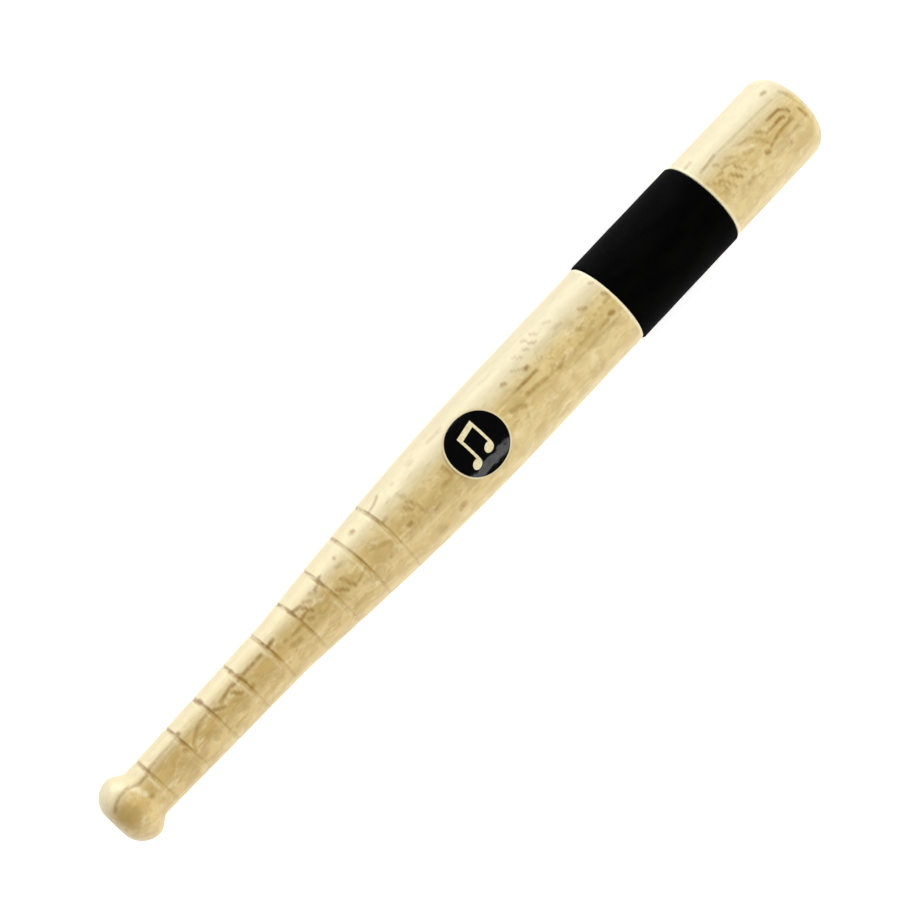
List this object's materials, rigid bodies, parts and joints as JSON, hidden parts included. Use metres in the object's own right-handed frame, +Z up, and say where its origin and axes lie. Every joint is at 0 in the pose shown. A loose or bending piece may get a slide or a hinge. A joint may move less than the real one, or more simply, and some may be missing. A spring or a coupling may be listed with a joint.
{
  "type": "cowbell beater",
  "caption": "Turned hardwood cowbell beater: end knob, ringed grip flaring into a thick head, rubber striking sleeve near the tip and a small domed badge.",
  "frame": {"origin": "on the table under the middle of the part's box, with the stick lying on its head and on its sleeve's near edge", "axes": "+X from the end knob to the tip, +Z up through the badge. The stick's own axis rises 0.5 degrees towards the tip, because the sleeve and the head are what touch the table"},
  "size_m": [0.2501, 0.0254, 0.0258],
  "materials": {
    "beater_wood": "pale turned hardwood under thin satin lacquer",
    "sleeve_rubber": "matte black rubber",
    "badge_pad": "acrylic adhesive pad",
    "badge_black": "black printed film",
    "badge_gold": "cream-gold raised print",
    "badge_clear": "clear cast resin, high gloss"
  },
  "bodies": {
    "root": {"beater_body": "beater_wood", "rubber_sleeve": "sleeve_rubber", "badge_adhesive": "badge_pad", "badge_film": "badge_black", "badge_emblem": "badge_gold", "badge_dome": "badge_clear"}
  },
  "joints": []
}
